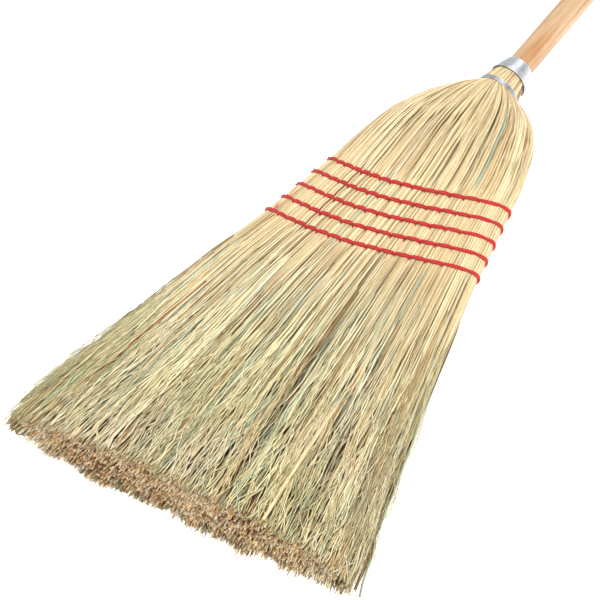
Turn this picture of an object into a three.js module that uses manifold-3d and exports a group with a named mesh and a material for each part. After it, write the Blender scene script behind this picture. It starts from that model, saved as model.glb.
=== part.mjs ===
// A corn broom lying on its face: a turned wooden handle, a head of broomcorn bound on
// with galvanised wire, and five rows of red twine sewn through the straw.
// Millimetres. The handle runs along +Y, the cut ends of the straw face -Y, X is the
// width of the sweep and Z its thickness. The head is modelled about the handle's axis,
// with the ends of its outermost straws at y = 0, and the finished broom is then set
// down on its face.

import * as THREE from 'three';
import { mergeVertices } from 'three/addons/utils/BufferGeometryUtils.js';
import Module from 'manifold-3d';

const wasm = await Module();
wasm.setup();

// Overall sizes
const broomLength = 1400;
const handleRadius = 11.9;
const handleEndY = 375;
const handlePointRadius = 7;
const handleTaperLength = 28;
const domeHeight = 9;
const domeFlatRadius = 5;

// Fit between touching pieces
const fitGap = 0.3;

// The head, station by station from the cut ends to the neck. Each station is an oval
// of half width w and half thickness t, its middle bowed towards the cut ends by bow,
// and its centre shifted sideways by lean: the sweep is splayed a little to one side.
const rowCount = 5;
const rowSpacing = 18;
const lastRowY = 280;
const firstRowY = lastRowY + rowSpacing * (rowCount - 1);
const rowBow = 20;
const lastRowHalfWidth = 114;
const firstRowHalfWidth = 97;
const rowHalfThickness = 22;
const cellBulge = 1.5;
const ovalPower = 2.08;
const ovalSides = 20;

const sweepStations = [
  { y: 0, w: 183, t: 31.2, bow: 7, lean: 12 },
  { y: 70, w: 163, t: 28, bow: 11, lean: 8 },
  { y: 150, w: 142, t: 25, bow: 15, lean: 4 },
  { y: 222, w: 126, t: 23.5, bow: 18, lean: 1 },
];
const shoulderStations = [
  { y: 376, w: 92, t: 24, bow: 17, lean: 0 },
  { y: 400, w: 84, t: 25.5, bow: 13, lean: 0 },
  { y: 425, w: 71, t: 26, bow: 8, lean: 0 },
  { y: 445, w: 54, t: 25, bow: 4, lean: 0 },
  { y: 460, w: 37, t: 23.5, bow: 1.5, lean: 0 },
  { y: 470, w: 25, t: 21.5, bow: 0.5, lean: 0 },
];

// The bound neck. Below the collar the wire's last turns sit in a groove of the straw.
const neckRadius = 20;
const neckTopRadius = 17.9;
const buttRadius = 16.6;
const buttTopRadius = 13.6;
const buttTopY = 506;
const wirePitch = 1.3;
const neckWindingY = 476;
const neckWindingTurns = 3;
const neckGrooveRadius = 19.2;
const neckGrooveHalf = 2.6;
const collarBottomY = 492.7;
const collarTopY = 512.7;
const collarTurns = 15;
const wireDepth = 1.25;
const windingSides = 20;

// The inner straw, laid round the handle first and bound before the hurl covers it
const hurlThickness = 8;
const hurlEdge = 9;
const hurlNeckThickness = 3.6;
const innerTopY = 494;
const innerTopRadius = 14.6;
const innerWindingY = 485;
const innerWindingTurns = 4;
const innerWindingDepth = 1.2;
const shoulderSplitX = 40;

// Stitching
const stitchCount = 14;
const stitchSpan = 0.78;
const bandWidth = 4.4;
const bandThickness = 1.4;
const bandClearance = 0.7;
const twineRadius = 0.7;
const twineSides = 5;
const needleOffset = 3.6;
const slotWidth = 2.3;
const slotSpineHalf = 3;
const slotOverrun = 4;
const slotPieces = 3;
const stitchSlant = 3;

// Where the straw flexes: the sweep turns about a line across the head
const flexY = 222;
const flexRadius = 24.3;
const flexGap = 0.8;
const flexSides = 32;

// The nail that holds the wire's end
const tackY = collarTopY + 2.1;
const tackHeadRadius = 1.6;
const tackHeadHeight = 0.8;
const tackShankRadius = 0.7;
const tackLength = 8;
const tackSides = 12;

const cutterReach = 2000;

const strawMaterial = (colour) =>
  new THREE.MeshStandardMaterial({ color: colour, roughness: 0.85, metalness: 0 });
const innerStrawMaterial = strawMaterial(0xbfa873);
const hurlMaterial = strawMaterial(0xd9c48e);
const bristleMaterial = strawMaterial(0xd3bf8c);
const woodMaterial = new THREE.MeshStandardMaterial({ color: 0xddb98a, roughness: 0.5, metalness: 0 });
const wireMaterial = new THREE.MeshStandardMaterial({ color: 0xb9c3cb, roughness: 0.3, metalness: 1 });
const twineMaterial = new THREE.MeshStandardMaterial({ color: 0xd23333, roughness: 0.8, metalness: 0 });

// ---- Solids ----

function toSolid(geometry) {
  const bare = geometry.clone();
  bare.deleteAttribute('normal');
  bare.deleteAttribute('uv');
  const merged = mergeVertices(bare, 1e-4);
  return new wasm.Manifold(new wasm.Mesh({
    numProp: 3,
    vertProperties: new Float32Array(merged.attributes.position.array),
    triVerts: new Uint32Array(merged.index.array),
  }));
}

function toGeometry(solid) {
  const mesh = solid.getMesh();
  const geometry = new THREE.BufferGeometry();
  geometry.setAttribute('position', new THREE.BufferAttribute(mesh.vertProperties, 3));
  geometry.setIndex(new THREE.BufferAttribute(mesh.triVerts, 1));
  geometry.computeVertexNormals();
  return geometry;
}

function box(minimum, maximum) {
  const size = new THREE.Vector3().subVectors(maximum, minimum);
  const geometry = new THREE.BoxGeometry(size.x, size.y, size.z);
  geometry.translate(minimum.x + size.x / 2, minimum.y + size.y / 2, minimum.z + size.z / 2);
  return toSolid(geometry);
}

function halfSpace(axis, from) {
  const minimum = new THREE.Vector3(-cutterReach, -cutterReach, -cutterReach);
  const maximum = new THREE.Vector3(cutterReach, cutterReach, cutterReach);
  minimum[axis] = from;
  return box(minimum, maximum);
}

// Joins rings of equal length into a skin. A closed skin comes back round to its first
// ring; an open one is capped by the caller's list of triangles over the ring's corners.
function skin(rings, closed, capFaces = []) {
  const sides = rings[0].length;
  const points = rings.flat();
  const faces = [];
  const joins = closed ? rings.length : rings.length - 1;
  for (let ring = 0; ring < joins; ring += 1) {
    const low = ring * sides;
    const high = ((ring + 1) % rings.length) * sides;
    for (let side = 0; side < sides; side += 1) {
      const next = (side + 1) % sides;
      faces.push(low + side, low + next, high + next, low + side, high + next, high + side);
    }
  }
  const top = (rings.length - 1) * sides;
  for (const [a, b, c] of capFaces) {
    faces.push(a, c, b, top + a, top + b, top + c);
  }
  const geometry = new THREE.BufferGeometry();
  geometry.setAttribute('position', new THREE.Float32BufferAttribute(points.flatMap((p) => p.toArray()), 3));
  geometry.setIndex(faces);
  return facingOut(geometry);
}

function facingOut(geometry) {
  const position = geometry.attributes.position;
  const index = geometry.index;
  const a = new THREE.Vector3();
  const b = new THREE.Vector3();
  const c = new THREE.Vector3();
  let volume = 0;
  for (let corner = 0; corner < index.count; corner += 3) {
    a.fromBufferAttribute(position, index.getX(corner));
    b.fromBufferAttribute(position, index.getX(corner + 1));
    c.fromBufferAttribute(position, index.getX(corner + 2));
    volume += a.dot(b.cross(c));
  }
  if (volume < 0) {
    index.array.reverse();
  }
  geometry.computeVertexNormals();
  return geometry;
}

// A capped strip between the upper and lower halves of an oval, corner by corner
function ovalCap(sides) {
  const faces = [];
  for (let side = 0; side < sides / 2 - 1; side += 1) {
    const opposite = sides - 1 - side;
    faces.push([side, side + 1, opposite - 1], [side, opposite - 1, opposite]);
  }
  return faces;
}

// ---- The head's outline ----

function ovalPoint(station, angle, grow = 0) {
  const c = Math.cos(angle);
  const s = Math.sin(angle);
  const power = 2 / (station.power ?? ovalPower);
  const across = Math.sign(c) * Math.abs(c) ** power;
  const up = Math.sign(s) * Math.abs(s) ** power;
  return new THREE.Vector3(
    station.lean + (station.w + grow) * across,
    station.y - station.bow * (1 - across * across),
    (station.t + grow) * up,
  );
}

function ovalRing(station, grow = 0) {
  const ring = [];
  for (let side = 0; side < ovalSides; side += 1) {
    ring.push(ovalPoint(station, ((side + 0.5) / ovalSides) * 2 * Math.PI, grow));
  }
  return ring;
}

function loft(stations) {
  return toSolid(skin(stations.map((station) => ovalRing(station)), false, ovalCap(ovalSides)));
}

const roundStation = (y, radius) => ({ y, w: radius, t: radius, bow: 0, lean: 0, power: 2 });

function rowStation(row) {
  const up = (rowCount - row) / (rowCount - 1);
  return {
    y: lastRowY + (firstRowY - lastRowY) * up,
    w: lastRowHalfWidth + (firstRowHalfWidth - lastRowHalfWidth) * up,
    t: rowHalfThickness,
    bow: rowBow,
    lean: 0,
  };
}

// The straw is pinched at every row and bulges a little between two rows.
function sewnStations() {
  const stations = [];
  for (let row = rowCount; row >= 1; row -= 1) {
    stations.push(rowStation(row));
    if (row > 1) {
      const between = rowStation(row - 0.5);
      stations.push({ ...between, w: between.w + cellBulge, t: between.t + cellBulge });
    }
  }
  return stations;
}

const neckStations = [
  roundStation(neckWindingY - neckGrooveHalf, neckGrooveRadius),
  roundStation(neckWindingY + neckGrooveHalf, neckGrooveRadius),
  roundStation(neckWindingY + neckGrooveHalf + 1.5, neckRadius),
  roundStation(collarBottomY - 1.5, neckTopRadius),
  roundStation(collarBottomY + fitGap, buttRadius),
  roundStation(buttTopY, buttTopRadius),
];

const outerStations = [...sweepStations, ...sewnStations(), ...shoulderStations, ...neckStations];

// The inner straw follows the outside at the hurl's thickness, then the neck. Grow is
// the clearance that the hurl keeps round it.
function innerStations(grow) {
  const followed = [...sweepStations, rowStation(rowCount), rowStation(1), ...shoulderStations];
  const stations = followed.map((station) => {
    const neckShare = THREE.MathUtils.smoothstep(station.y, firstRowY, neckWindingY);
    return {
      ...station,
      w: station.w - THREE.MathUtils.lerp(hurlEdge, hurlNeckThickness, neckShare) + grow,
      t: station.t - THREE.MathUtils.lerp(hurlThickness, hurlNeckThickness, neckShare) + grow,
    };
  });
  stations.push(roundStation(neckWindingY, neckGrooveRadius - hurlNeckThickness + 0.5 + grow));
  stations.push(roundStation(innerTopY - 3, neckGrooveRadius - hurlNeckThickness + 0.5 + grow));
  stations.push(roundStation(innerTopY + grow, innerTopRadius + grow));
  return stations;
}

// ---- Turned and wound pieces ----

// A lathe turned about the handle's axis, Y
function turned(profile, sides) {
  return new THREE.LatheGeometry(profile, sides);
}

const profilePoint = (radius, y) => new THREE.Vector2(radius, y);

function handleGeometry() {
  const profile = [
    profilePoint(0, handleEndY),
    profilePoint(handlePointRadius, handleEndY),
    profilePoint(handleRadius, handleEndY + handleTaperLength),
  ];
  const domeSteps = 4;
  for (let step = 0; step <= domeSteps; step += 1) {
    const turn = (step / domeSteps) * (Math.PI / 2);
    profile.push(profilePoint(
      domeFlatRadius + (handleRadius - domeFlatRadius) * Math.cos(turn),
      broomLength - domeHeight + domeHeight * Math.sin(turn),
    ));
  }
  profile.push(profilePoint(0, broomLength));
  return turned(profile, 32);
}

// Wire wound side by side in one layer: a sleeve with a ridge for every turn, from the
// radius at its low end to the radius at its high end, measured to the wire's inside.
function windingGeometry(lowY, highY, lowRadius, highRadius, turns, depth) {
  const radiusAt = (share) => THREE.MathUtils.lerp(lowRadius, highRadius, share);
  const yAt = (share) => THREE.MathUtils.lerp(lowY, highY, share);
  const profile = [profilePoint(lowRadius, lowY)];
  const valleyDepth = depth * 0.55;
  for (let turn = 0; turn < turns; turn += 1) {
    profile.push(profilePoint(radiusAt(turn / turns) + valleyDepth, yAt(turn / turns)));
    profile.push(profilePoint(radiusAt((turn + 0.5) / turns) + depth, yAt((turn + 0.5) / turns)));
  }
  profile.push(profilePoint(highRadius + valleyDepth, highY));
  profile.push(profilePoint(highRadius, highY));
  profile.push(profilePoint(lowRadius, lowY));
  return turned(profile, windingSides);
}

function sleeveSolid(lowY, highY, innerRadius, outerRadius) {
  return toSolid(turned([
    profilePoint(innerRadius, lowY),
    profilePoint(outerRadius, lowY),
    profilePoint(outerRadius, highY),
    profilePoint(innerRadius, highY),
    profilePoint(innerRadius, lowY),
  ], windingSides));
}

function boreSolid(radius, lowY, highY) {
  const geometry = new THREE.CylinderGeometry(radius, radius, highY - lowY, 32);
  geometry.translate(0, (lowY + highY) / 2, 0);
  return toSolid(geometry);
}

// The nail stands on the back of the handle, its head just clear of the wood.
function tackProfile(clearance) {
  const seat = handleRadius + (clearance > 0 ? 0 : fitGap);
  return [
    profilePoint(0, handleRadius - tackLength - clearance),
    profilePoint(tackShankRadius + clearance, handleRadius - tackLength - clearance),
    profilePoint(tackShankRadius + clearance, seat),
    profilePoint(tackHeadRadius + clearance, seat),
    profilePoint(tackHeadRadius + clearance, seat + tackHeadHeight),
    profilePoint(0, seat + tackHeadHeight),
  ];
}

function tackGeometry(clearance = 0) {
  const geometry = turned(tackProfile(clearance), tackSides);
  geometry.rotateX(-Math.PI / 2);
  geometry.translate(0, tackY, 0);
  return geometry;
}

// ---- Stitching ----

const rowY = (station, x) => station.y - station.bow * (1 - (x / station.w) ** 2);

function surfaceHeight(station, x) {
  return station.t * (1 - Math.abs(x / station.w) ** ovalPower) ** (1 / ovalPower);
}

// The band lies flat on the straw, so its edges follow the head's taper.
function bandGeometry(row) {
  const edge = bandWidth / 2 / rowSpacing;
  const crown = 0.6 * edge;
  const grown = bandClearance + bandThickness;
  const sections = [];
  for (let side = 0; side < ovalSides; side += 1) {
    const angle = ((side + 0.5) / ovalSides) * 2 * Math.PI;
    sections.push([
      ovalPoint(rowStation(row + edge), angle, bandClearance),
      ovalPoint(rowStation(row + crown), angle, grown),
      ovalPoint(rowStation(row - crown), angle, grown),
      ovalPoint(rowStation(row - edge), angle, bandClearance),
    ]);
  }
  return skin(sections, true);
}

// One length of twine goes over the band on the front, through the straw below it, back
// over the band behind, and through the straw above it to the next stitch.
function sewingPath(station) {
  const path = [];
  const pitch = (2 * stitchSpan * station.w) / (stitchCount - 1);
  const lift = bandClearance + bandThickness + fitGap + twineRadius + 0.2;
  const corner = (x, side, face) =>
    new THREE.Vector3(x, rowY(station, x) + side * needleOffset, face * (surfaceHeight(station, x) + lift));
  for (let stitch = 0; stitch < stitchCount; stitch += 1) {
    const x = (stitch - (stitchCount - 1) / 2) * pitch;
    const before = x - stitchSlant / 2;
    const after = x + stitchSlant / 2;
    path.push(corner(before, 1, -1), corner(before, 1, 1), corner(after, -1, 1), corner(after, -1, -1));
  }
  return path;
}

// A tube with mitred corners along straight runs
function twineGeometry(path) {
  const rings = [];
  const first = new THREE.Vector3().subVectors(path[1], path[0]).normalize();
  const aside = new THREE.Vector3(1, 0, 0).cross(first).normalize();
  const across = new THREE.Vector3().crossVectors(first, aside);
  let offsets = [];
  for (let side = 0; side < twineSides; side += 1) {
    const angle = (side / twineSides) * 2 * Math.PI;
    const offset = new THREE.Vector3().addScaledVector(aside, Math.cos(angle));
    offsets.push(offset.addScaledVector(across, Math.sin(angle)).multiplyScalar(twineRadius));
  }
  for (let corner = 0; corner < path.length; corner += 1) {
    const here = path[corner];
    const last = corner === path.length - 1;
    const into = corner === 0 ? first : new THREE.Vector3().subVectors(here, path[corner - 1]).normalize();
    const away = last ? into : new THREE.Vector3().subVectors(path[corner + 1], here).normalize();
    const mitre = new THREE.Vector3().addVectors(into, away).normalize();
    const cut = offsets.map((offset) => offset.clone().addScaledVector(into, -offset.dot(mitre) / into.dot(mitre)));
    rings.push(cut.map((point) => point.clone().add(here)));
    offsets = cut.map((point) => point.clone().addScaledVector(away, -point.dot(away)));
  }
  const cap = [];
  for (let side = 1; side < twineSides - 1; side += 1) {
    cap.push([0, side, side + 1]);
  }
  return skin(rings, false, cap);
}

// The needle holes of one row, above and below its band, left and right of a middle
// spine that keeps the straw in one piece
function needleSlots(station) {
  const slots = [];
  const reach = stitchSpan * station.w + slotOverrun;
  for (const side of [-1, 1]) {
    for (const hand of [-1, 1]) {
      const lower = [];
      const upper = [];
      for (let step = 0; step <= slotPieces; step += 1) {
        const x = hand * THREE.MathUtils.lerp(slotSpineHalf, reach, step / slotPieces);
        const y = rowY(station, x) + side * needleOffset;
        lower.push(new THREE.Vector2(x, y - slotWidth / 2));
        upper.unshift(new THREE.Vector2(x, y + slotWidth / 2));
      }
      const depth = 4 * station.t;
      const outline = new THREE.Shape([...lower, ...upper]);
      const geometry = new THREE.ExtrudeGeometry(outline, { depth, bevelEnabled: false, steps: 1 });
      geometry.translate(0, 0, -depth / 2);
      slots.push(toSolid(geometry));
    }
  }
  return slots;
}

// ---- Assembly ----

const broom = new THREE.Group();

function addPiece(name, geometry, material) {
  const mesh = new THREE.Mesh(geometry, material);
  mesh.name = name;
  broom.add(mesh);
}

function flexCutter(radius) {
  const barrel = new THREE.CylinderGeometry(radius, radius, 2 * cutterReach, flexSides);
  barrel.rotateZ(Math.PI / 2);
  barrel.translate(0, flexY, 0);
  const below = box(
    new THREE.Vector3(-cutterReach, -cutterReach, -cutterReach),
    new THREE.Vector3(cutterReach, flexY, cutterReach),
  );
  return below.add(toSolid(barrel));
}

const sweepCutter = flexCutter(flexRadius);
const headCutter = flexCutter(flexRadius + flexGap);

function splitAtFlex(solid, headName, headMaterial, sweepName, sweepMaterial) {
  addPiece(headName, toGeometry(solid.subtract(headCutter)), headMaterial);
  addPiece(sweepName, toGeometry(solid.intersect(sweepCutter)), sweepMaterial);
}

function buildHandle() {
  const tackHole = toSolid(tackGeometry(fitGap));
  addPiece('handle', toGeometry(toSolid(handleGeometry()).subtract(tackHole)), woodMaterial);
  addPiece('wire_end_tack', tackGeometry(), wireMaterial);
}

function buildWindings() {
  const collarInner = buttRadius + fitGap + 0.1;
  const collarTopInner = handleRadius + fitGap;
  addPiece(
    'collar_winding',
    windingGeometry(collarBottomY, collarTopY, collarInner, collarTopInner, collarTurns, wireDepth),
    wireMaterial,
  );
  const neckHalf = (neckWindingTurns * wirePitch) / 2;
  const neckInner = neckGrooveRadius + fitGap;
  addPiece(
    'neck_winding',
    windingGeometry(neckWindingY - neckHalf, neckWindingY + neckHalf, neckInner, neckInner,
      neckWindingTurns, wireDepth),
    wireMaterial,
  );
  const innerHalf = (innerWindingTurns * wirePitch) / 2;
  addPiece(
    'inner_winding',
    windingGeometry(innerWindingY - innerHalf, innerWindingY + innerHalf, innerTopRadius + fitGap,
      innerTopRadius + fitGap, innerWindingTurns, innerWindingDepth),
    wireMaterial,
  );
}

function buildStraw() {
  const bore = boreSolid(handleRadius + fitGap, handleEndY - 2, broomLength);
  const windingHalf = (innerWindingTurns * wirePitch) / 2 + fitGap;
  const windingGroove = sleeveSolid(
    innerWindingY - windingHalf, innerWindingY + windingHalf, innerTopRadius, 2 * innerTopRadius);
  let slots = [];
  for (let row = 1; row <= rowCount; row += 1) {
    slots = slots.concat(needleSlots(rowStation(row)));
  }
  const allSlots = wasm.Manifold.union(slots);
  const inner = loft(innerStations(0)).subtract(bore).subtract(allSlots).subtract(windingGroove);
  const hollow = loft(innerStations(fitGap));
  const hurl = loft(outerStations).subtract(hollow).subtract(bore).subtract(allSlots);

  const right = halfSpace('x', shoulderSplitX);
  const left = right.mirror([1, 0, 0]);
  const middleCut = halfSpace('x', shoulderSplitX - fitGap);
  const core = inner.subtract(middleCut).subtract(middleCut.mirror([1, 0, 0]));
  splitAtFlex(core, 'inner_straw', innerStrawMaterial, 'inner_bristles', innerStrawMaterial);
  splitAtFlex(inner.intersect(left), 'left_shoulder_straw', innerStrawMaterial, 'left_bristles', innerStrawMaterial);
  splitAtFlex(inner.intersect(right), 'right_shoulder_straw', innerStrawMaterial, 'right_bristles', innerStrawMaterial);

  const front = halfSpace('z', fitGap / 2);
  splitAtFlex(hurl.intersect(front), 'front_hurl', hurlMaterial, 'front_bristles', bristleMaterial);
  splitAtFlex(hurl.intersect(front.mirror([0, 0, 1])), 'back_hurl', hurlMaterial, 'back_bristles', bristleMaterial);
}

function buildStitching() {
  for (let row = 1; row <= rowCount; row += 1) {
    addPiece(`row_${row}_twine_band`, bandGeometry(row), twineMaterial);
    addPiece(`row_${row}_sewing_twine`, twineGeometry(sewingPath(rowStation(row))), twineMaterial);
  }
}

buildHandle();
buildWindings();
buildStraw();
buildStitching();

// Set down on its face, with the middle of its footprint at the origin
const extent = new THREE.Box3().setFromObject(broom);
const middle = extent.getCenter(new THREE.Vector3());
broom.position.set(-middle.x, -middle.y, -extent.min.z);

export default broom;
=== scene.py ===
import bpy
import math
import numpy as np
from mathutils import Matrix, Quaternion, Vector


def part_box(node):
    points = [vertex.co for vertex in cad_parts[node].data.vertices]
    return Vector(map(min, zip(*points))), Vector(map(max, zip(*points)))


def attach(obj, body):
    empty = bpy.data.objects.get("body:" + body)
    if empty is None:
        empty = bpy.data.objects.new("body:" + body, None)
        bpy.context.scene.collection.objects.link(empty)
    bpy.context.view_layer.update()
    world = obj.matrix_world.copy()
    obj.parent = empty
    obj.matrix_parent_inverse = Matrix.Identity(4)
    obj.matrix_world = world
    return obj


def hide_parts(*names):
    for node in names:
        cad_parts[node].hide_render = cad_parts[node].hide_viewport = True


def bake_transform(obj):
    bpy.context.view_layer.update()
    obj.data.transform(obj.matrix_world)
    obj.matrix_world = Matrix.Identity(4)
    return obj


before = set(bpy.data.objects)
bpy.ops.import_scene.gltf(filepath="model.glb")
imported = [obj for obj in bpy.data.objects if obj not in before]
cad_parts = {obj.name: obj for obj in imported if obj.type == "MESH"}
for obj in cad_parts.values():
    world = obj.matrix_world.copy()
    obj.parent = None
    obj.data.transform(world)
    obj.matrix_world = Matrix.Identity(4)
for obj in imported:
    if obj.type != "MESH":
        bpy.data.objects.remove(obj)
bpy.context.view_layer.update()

print("stage 1: the packed frame is loaded")

# a station y counts millimetres from the cut ends (0) up the handle's axis
handleLow, handleHigh = (Vector(corner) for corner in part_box("handle"))
broomLength = 1.400  # metres
home = Vector(((handleLow.x + handleHigh.x) / 2, handleHigh.y - broomLength,
               (handleLow.z + handleHigh.z) / 2))
homeArray = np.array(home)
floorClear = 0.0006  # metres between the floor and the lowest straw

headShape = {
    # y, half width, half thickness, bow, lean
    "stations": [
        (0, 182, 31.2, 0, 12), (70, 166.5, 28, 9, 6), (150, 147, 25.5, 15, 3), (222, 129, 24, 18, 0.8),
        (255, 119.5, 23, 19.5, 0.5), (280, 112.5, 22, 20, 0.3), (352, 96, 22, 20, -0.8),
        (376, 92.5, 24, 17, -1.5), (400, 86.5, 26.5, 13, -3), (425, 77.5, 28, 8, -4), (445, 63, 27, 4, -3.5),
        (460, 44.5, 25, 1.5, -2), (468, 31, 22.5, 0.5, -1), (472.5, 21, 20.2, 0, 0), (474, 19.2, 19.2, 0, 0),
        (478.5, 19.2, 19.2, 0, 0), (480.5, 19.0, 19.0, 0, 0), (491, 16.8, 16.8, 0, 0),
        (493, 16.2, 16.2, 0, 0), (506, 13.5, 13.5, 0, 0), (514, 13.0, 13.0, 0, 0),
    ],
    "smoothOver": 13,
    "smoothBelow": 466,
    "roundness": 2 / 2.08,
    "rows": [352, 334, 316, 298, 280],
    "stitches": 14,
    "stitchSpan": 0.78,
    "rowPinch": 0.4,
    "rowReach": 3.4,
    "stitchPinch": 1.0,
    "stitchReach": (6.5, 2.6),  # along the broom, across it
    "crease": 0.8,
    "creaseReach": 1.3,
    "creaseFades": (246, 276, 354, 372),
}

profileY = np.arange(-12.0, 515.0, 1.0)
profile = {}
stationTable = np.array(headShape["stations"], float)
smoothing = np.ones(headShape["smoothOver"]) / headShape["smoothOver"]
for column, name in enumerate(("width", "thick", "bow", "lean"), start=1):
    line = np.interp(profileY, stationTable[:, 0], stationTable[:, column])
    slope = (stationTable[1, column] - stationTable[0, column]) / stationTable[1, 0]
    line[profileY < 0] += slope * profileY[profileY < 0]
    padded = np.pad(line, len(smoothing) // 2, mode="reflect", reflect_type="odd")
    smooth = np.convolve(padded, smoothing, mode="valid")
    profile[name] = np.where(profileY < headShape["smoothBelow"], smooth, line)

# where the stitches of a row stand across the head, from -1 to 1
stitchMiddle = (headShape["stitches"] - 1) / 2
stitchShares = (np.arange(headShape["stitches"]) - stitchMiddle) * headShape["stitchSpan"] / stitchMiddle


def profileAt(name, y):
    return np.interp(y, profileY, profile[name])


def pinch(y, across, width):
    # how far the twine pulls the straw in, in mm: all along a row, and deeper at a stitch
    toStitch = np.min(np.abs(across[..., None] - stitchShares), axis=-1) * width
    along, aside = headShape["stitchReach"]
    depth = np.zeros_like(y)
    for rowY in headShape["rows"]:
        depth += headShape["rowPinch"] * np.exp(-((y - rowY) / headShape["rowReach"]) ** 2)
        depth += headShape["stitchPinch"] * np.exp(-((y - rowY) / along) ** 2 - (toStitch / aside) ** 2)
    low, full, fading, gone = headShape["creaseFades"]
    sewn = np.clip((y - low) / (full - low), 0, 1) * np.clip((gone - y) / (gone - fading), 0, 1)
    return depth + sewn * headShape["crease"] * np.exp(-(toStitch / headShape["creaseReach"]) ** 2)


def headPoint(y, angle, inward=0.0, pinched=True):
    # a point of the head in mm about the handle's axis: station y, angle round the oval,
    # and how far inside the surface it lies
    cosine, sine = np.cos(angle), np.sin(angle)
    across = np.sign(cosine) * np.abs(cosine) ** headShape["roundness"]
    up = np.sign(sine) * np.abs(sine) ** headShape["roundness"]
    width, thick = profileAt("width", y), profileAt("thick", y)
    if pinched:
        inward = inward + pinch(y, across, width)
    x = profileAt("lean", y) + np.maximum(width - inward, 0.5) * across
    z = np.maximum(thick - inward, 0.2) * up
    return np.stack([x, y - profileAt("bow", y) * (1 - across ** 2), z], axis=-1)


def rimAngles(y, places):
    # the angles of places from 0 to 1 along the oval's rim, at one station
    fine = np.linspace(0, 2 * math.pi, 721)
    rim = headPoint(np.full_like(fine, y), fine, pinched=False)
    steps = np.r_[0, np.cumsum(np.linalg.norm(np.diff(rim, axis=0), axis=1))]
    return np.interp(places * steps[-1], steps, fine)


def evenAngles(count, y, rng):
    # angles that share the rim evenly, each a little off its place
    return rimAngles(y, (np.arange(count) + rng.uniform(-0.9, 0.9, count)) / count % 1.0)


def deselectAll():
    if bpy.context.object and bpy.context.object.mode != "OBJECT":
        bpy.ops.object.mode_set(mode="OBJECT")
    bpy.ops.object.select_all(action="DESELECT")


def cutAcross(mesh, lengths):
    # parts every lengthwise edge of a stalk into equal lengths, in edge mode, which leaves the rings whole
    bpy.context.tool_settings.mesh_select_mode = (False, True, False)
    for item in (*mesh.vertices, *mesh.edges, *mesh.polygons):
        item.select = False
    for edge in mesh.edges:
        low, high = (mesh.vertices[v].co for v in edge.vertices)
        edge.select = abs(low.z - high.z) > 1e-4
    bpy.ops.object.mode_set(mode="EDIT")
    bpy.ops.mesh.subdivide(number_cuts=lengths - 1)
    bpy.ops.object.mode_set(mode="OBJECT")


def stalkBlank(sides, rings, turns=1):
    # one straight stalk of unit size, cut across into rings, whose mesh every stalk copies
    deselectAll()
    bpy.ops.mesh.primitive_cylinder_add(vertices=sides, radius=1, depth=1)
    blank = bpy.context.object
    mesh = blank.data
    if turns > 1:
        cutAcross(mesh, turns)
    cutAcross(mesh, (rings - 1) // turns)
    corners = np.array([v.co for v in mesh.vertices])
    sizes = np.array([len(p.vertices) for p in mesh.polygons])
    loops = np.concatenate([np.array(p.vertices) for p in mesh.polygons])
    bpy.data.objects.remove(blank)
    ringOf = np.rint((corners[:, 2] + 0.5) * (rings - 1)).astype(int)
    return {"ring": ringOf, "side": corners[:, 0], "up": corners[:, 1], "sizes": sizes, "loops": loops}


def newPiece(name, vertices, loops, sizes, material, facts):
    # a smooth mesh from plain arrays, with a stored value or vector per corner for each fact
    mesh = bpy.data.meshes.new(name)
    mesh.vertices.add(len(vertices))
    mesh.vertices.foreach_set("co", np.ascontiguousarray(vertices, np.float32).ravel())
    mesh.loops.add(len(loops))
    mesh.loops.foreach_set("vertex_index", loops.astype(np.int32))
    mesh.polygons.add(len(sizes))
    mesh.polygons.foreach_set("loop_start", np.r_[0, np.cumsum(sizes)[:-1]].astype(np.int32))
    mesh.polygons.foreach_set("use_smooth", np.ones(len(sizes), bool))
    for key, values in facts.items():
        if values.ndim == 2:
            store = mesh.attributes.new(key, "FLOAT_VECTOR", "POINT")
            store.data.foreach_set("vector", np.ascontiguousarray(values, np.float32).ravel())
        else:
            store = mesh.attributes.new(key, "FLOAT", "POINT")
            store.data.foreach_set("value", np.ascontiguousarray(values, np.float32))
    mesh.update(calc_edges=True)
    mesh.validate()
    piece = bpy.data.objects.new(name, mesh)
    bpy.context.scene.collection.objects.link(piece)
    mesh.materials.append(material)
    return piece


def unit(vectors):
    return vectors / np.maximum(np.linalg.norm(vectors, axis=-1, keepdims=True), 1e-9)


def sweepStalks(name, blank, centre, outward, halfWidth, halfThick, material, facts, roll=None):
    # copies the blank along every path: centre is (stalks, rings, 3) in mm about the axis,
    # and every corner remembers where it lies: side, up, and metres along its stalk
    along = unit(np.gradient(centre, axis=1))
    side = unit(np.cross(along, outward))
    up = unit(np.cross(side, along))
    if roll is not None:
        turn = roll[:, None, None]
        side, up = side * np.cos(turn) + up * np.sin(turn), up * np.cos(turn) - side * np.sin(turn)
    ring = blank["ring"]
    a, b = blank["side"][None, :, None], blank["up"][None, :, None]
    corners = centre[:, ring] + side[:, ring] * a * halfWidth[:, ring, None] \
        + up[:, ring] * b * halfThick[:, ring, None]
    count, each = len(centre), len(ring)
    corners = corners.reshape(-1, 3) / 1000 + homeArray
    corners[:, 2] = np.maximum(corners[:, 2], floorClear)
    loops = (blank["loops"][None] + np.arange(count)[:, None] * each).ravel()
    sizes = np.tile(blank["sizes"], count)
    spread = {}
    for key, values in facts.items():
        whole = values[:, ring] if values.ndim == 2 else np.repeat(values[:, None], each, axis=1)
        spread[key] = whole.ravel()
    shape = np.stack([np.tile(blank["side"], count), np.tile(blank["up"], count)], axis=-1)
    length = np.zeros(centre.shape[:2])
    length[:, 1:] = np.cumsum(np.linalg.norm(np.diff(centre, axis=1), axis=2), axis=1)
    spread["lay"] = np.c_[shape, length[:, ring].ravel() / 1000]
    return newPiece(name, corners, loops, sizes, material, spread)


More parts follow.
